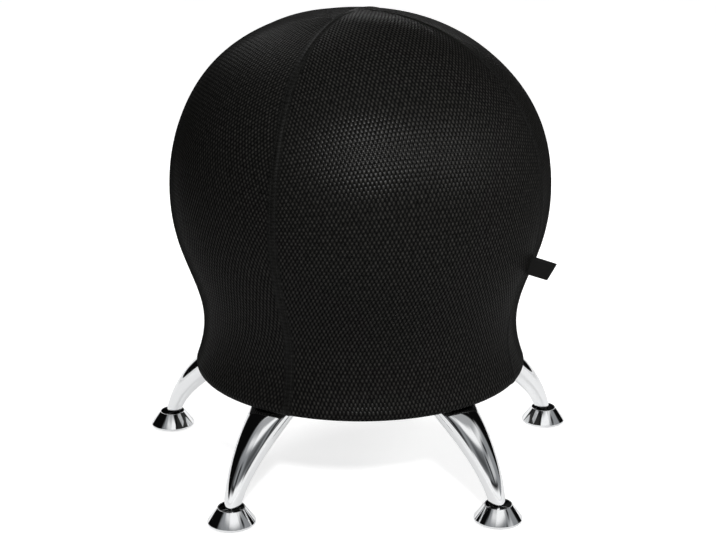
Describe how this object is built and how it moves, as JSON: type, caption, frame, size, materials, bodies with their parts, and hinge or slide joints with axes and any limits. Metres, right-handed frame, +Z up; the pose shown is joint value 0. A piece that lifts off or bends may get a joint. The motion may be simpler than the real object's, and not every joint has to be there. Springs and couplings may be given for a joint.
{
  "type": "balance stool",
  "caption": "Backless ball seat under a stretch mesh cover, on a round board with chrome horn legs and tilting bell feet; the ball sinks under load and springs back.",
  "frame": {"origin": "on the floor, at the middle of the footprint's box", "axes": "+Z up; -Y is the front, between two legs, and one leg points along +Y; +X is the right side seen from the front"},
  "size_m": [0.5768, 0.5514, 0.584],
  "materials": {
    "mesh_fabric": "black polyester spacer mesh, sewn in gores",
    "tab_tape": "black woven tape, folded and sewn into a seam",
    "elastic_cord": "black braided elastic",
    "ball_vinyl": "matt grey vinyl",
    "plug_plastic": "moulded off-white plastic",
    "painted_plywood": "plywood painted black",
    "chromed_steel": "polished and chrome plated",
    "zinc_plated_steel": "bright zinc plated",
    "foot_nylon": "moulded black nylon"
  },
  "bodies": {
    "base": {"base_board": "painted_plywood", "hem_cord": "elastic_cord", "leg_1": "chromed_steel", "leg_2": "chromed_steel", "leg_3": "chromed_steel", "leg_4": "chromed_steel", "leg_5": "chromed_steel", "leg_plate_1": "chromed_steel", "leg_plate_2": "chromed_steel", "leg_plate_3": "chromed_steel", "leg_plate_4": "chromed_steel", "leg_plate_5": "chromed_steel", "leg_1_bolt_a": "zinc_plated_steel", "leg_1_bolt_b": "zinc_plated_steel", "leg_2_bolt_a": "zinc_plated_steel", "leg_2_bolt_b": "zinc_plated_steel", "leg_3_bolt_a": "zinc_plated_steel", "leg_3_bolt_b": "zinc_plated_steel", "leg_4_bolt_a": "zinc_plated_steel", "leg_4_bolt_b": "zinc_plated_steel", "leg_5_bolt_a": "zinc_plated_steel", "leg_5_bolt_b": "zinc_plated_steel", "leg_1_tee_nut_a": "zinc_plated_steel", "leg_1_tee_nut_b": "zinc_plated_steel", "leg_2_tee_nut_a": "zinc_plated_steel", "leg_2_tee_nut_b": "zinc_plated_steel", "leg_3_tee_nut_a": "zinc_plated_steel", "leg_3_tee_nut_b": "zinc_plated_steel", "leg_4_tee_nut_a": "zinc_plated_steel", "leg_4_tee_nut_b": "zinc_plated_steel", "leg_5_tee_nut_a": "zinc_plated_steel", "leg_5_tee_nut_b": "zinc_plated_steel", "ball_stud_1": "zinc_plated_steel", "ball_stud_2": "zinc_plated_steel", "ball_stud_3": "zinc_plated_steel", "ball_stud_4": "zinc_plated_steel", "ball_stud_5": "zinc_plated_steel"},
    "seat": {"ball": "ball_vinyl", "cover_gore_1": "mesh_fabric", "cover_gore_2": "mesh_fabric", "cover_gore_3": "mesh_fabric", "cover_gore_4": "mesh_fabric", "side_tab": "tab_tape"},
    "plug": {"valve_plug": "plug_plastic"},
    "foot_1": {"foot_bell_1": "chromed_steel", "foot_pad_1": "foot_nylon"},
    "foot_2": {"foot_bell_2": "chromed_steel", "foot_pad_2": "foot_nylon"},
    "foot_3": {"foot_bell_3": "chromed_steel", "foot_pad_3": "foot_nylon"},
    "foot_4": {"foot_bell_4": "chromed_steel", "foot_pad_4": "foot_nylon"},
    "foot_5": {"foot_bell_5": "chromed_steel", "foot_pad_5": "foot_nylon"}
  },
  "joints": [
    {"name": "seat_sink", "type": "slide", "parent": "base", "child": "seat", "axis": [0, 0, 1], "range_m": [-0.04, 0], "stiffness_N_per_m": 12000, "springref_m": 0.005, "deforming": ["cover_gore_1", "cover_gore_2", "cover_gore_3", "cover_gore_4", "ball"]},
    {"name": "valve_pull", "type": "slide", "parent": "seat", "child": "plug", "axis": [0.0433, 0.7082, -0.7047], "range_m": [0, 0.015]},
    {"name": "foot_tilt_1", "type": "hinge", "parent": "base", "child": "foot_1", "pos_m": [-0.16005, -0.2463, 0.0095], "axis": [0.809, -0.5878, 0], "range_deg": [-8, 8]},
    {"name": "foot_tilt_2", "type": "hinge", "parent": "base", "child": "foot_2", "pos_m": [0.16005, -0.2463, 0.0095], "axis": [0.809, 0.5878, 0], "range_deg": [-8, 8]},
    {"name": "foot_tilt_3", "type": "hinge", "parent": "base", "child": "foot_3", "pos_m": [0.25897, 0.05814, 0.0095], "axis": [-0.309, 0.9511, 0], "range_deg": [-8, 8]},
    {"name": "foot_tilt_4", "type": "hinge", "parent": "base", "child": "foot_4", "pos_m": [0, 0.2463, 0.0095], "axis": [-1, 0, 0], "range_deg": [-8, 8]},
    {"name": "foot_tilt_5", "type": "hinge", "parent": "base", "child": "foot_5", "pos_m": [-0.25897, 0.05814, 0.0095], "axis": [-0.309, -0.9511, 0], "range_deg": [-8, 8]}
  ]
}
